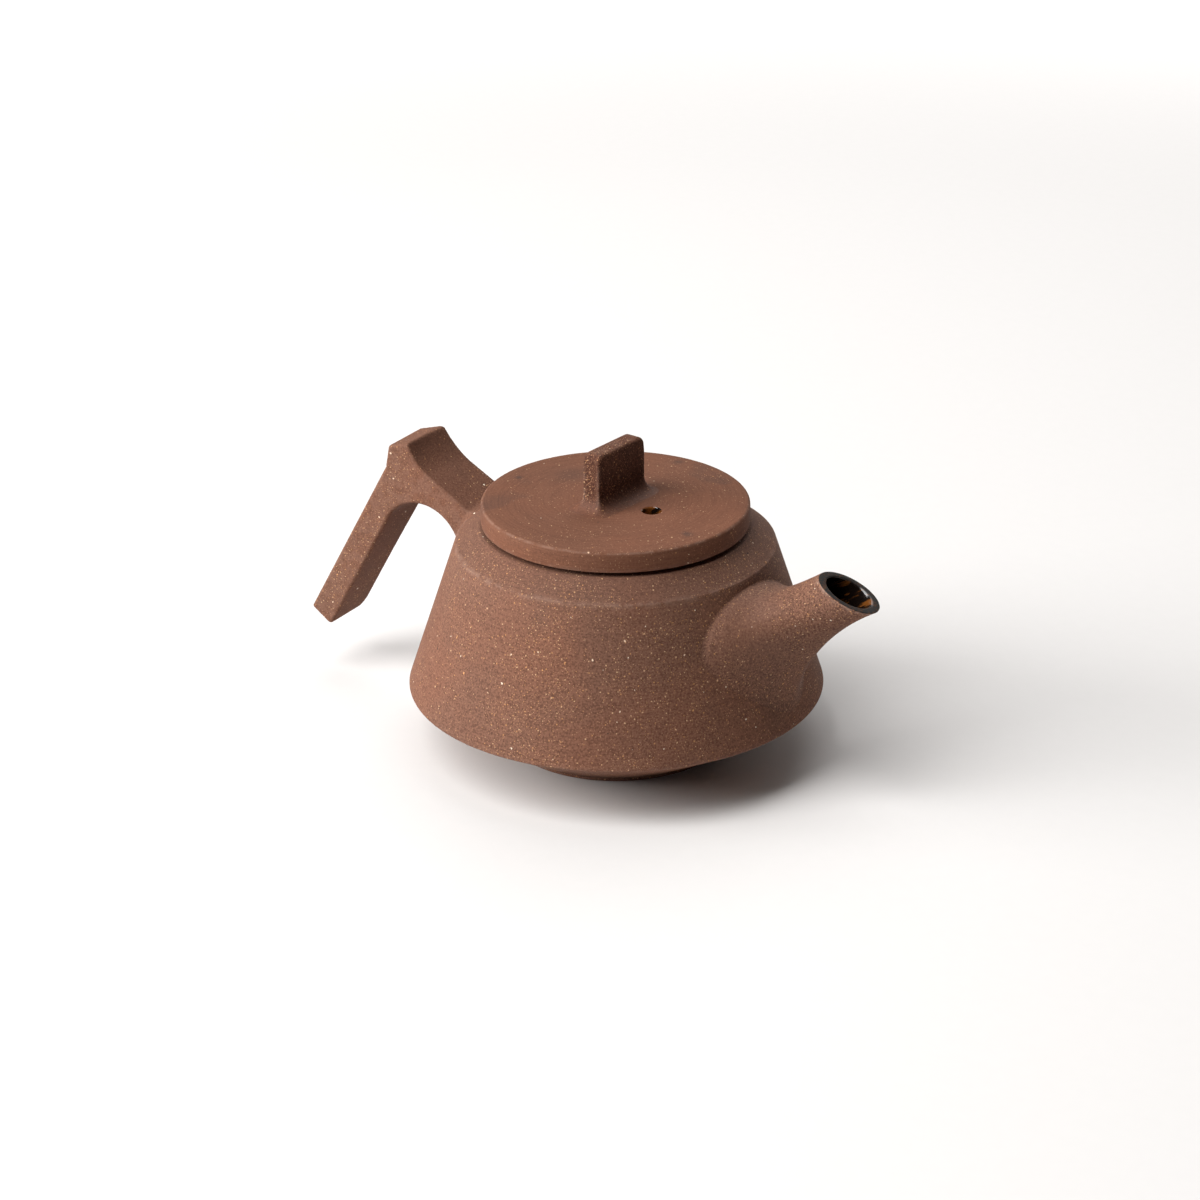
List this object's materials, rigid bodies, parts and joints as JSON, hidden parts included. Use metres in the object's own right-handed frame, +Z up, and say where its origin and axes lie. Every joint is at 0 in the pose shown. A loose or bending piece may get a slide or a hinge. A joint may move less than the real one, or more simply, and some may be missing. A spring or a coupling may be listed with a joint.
{
  "type": "back-handle teapot",
  "caption": "Low stoneware teapot with a cone wall, a flared spout and a carved slab handle on its back, and a lift-off lid with a vent and a slab knob.",
  "frame": {"origin": "centre of the foot on the table", "axes": "+Z up, +X towards the spout, so the handle is on -X"},
  "size_m": [0.1679, 0.108, 0.0805],
  "materials": {
    "clay": "unglazed dark red stoneware with fine light grog",
    "glaze": "glossy near-black brown glaze"
  },
  "bodies": {
    "pot": {"body_wall": "clay", "base_bowl": "clay", "spout": "clay", "strainer": "glaze", "handle": "clay"},
    "lid": {"lid_plate": "clay", "lid_flange": "glaze", "lid_knob": "clay"}
  },
  "joints": [
    {"name": "lid_lift", "type": "slide", "parent": "pot", "child": "lid", "axis": [0, 0, 1], "range_m": [0, 0.05]}
  ]
}
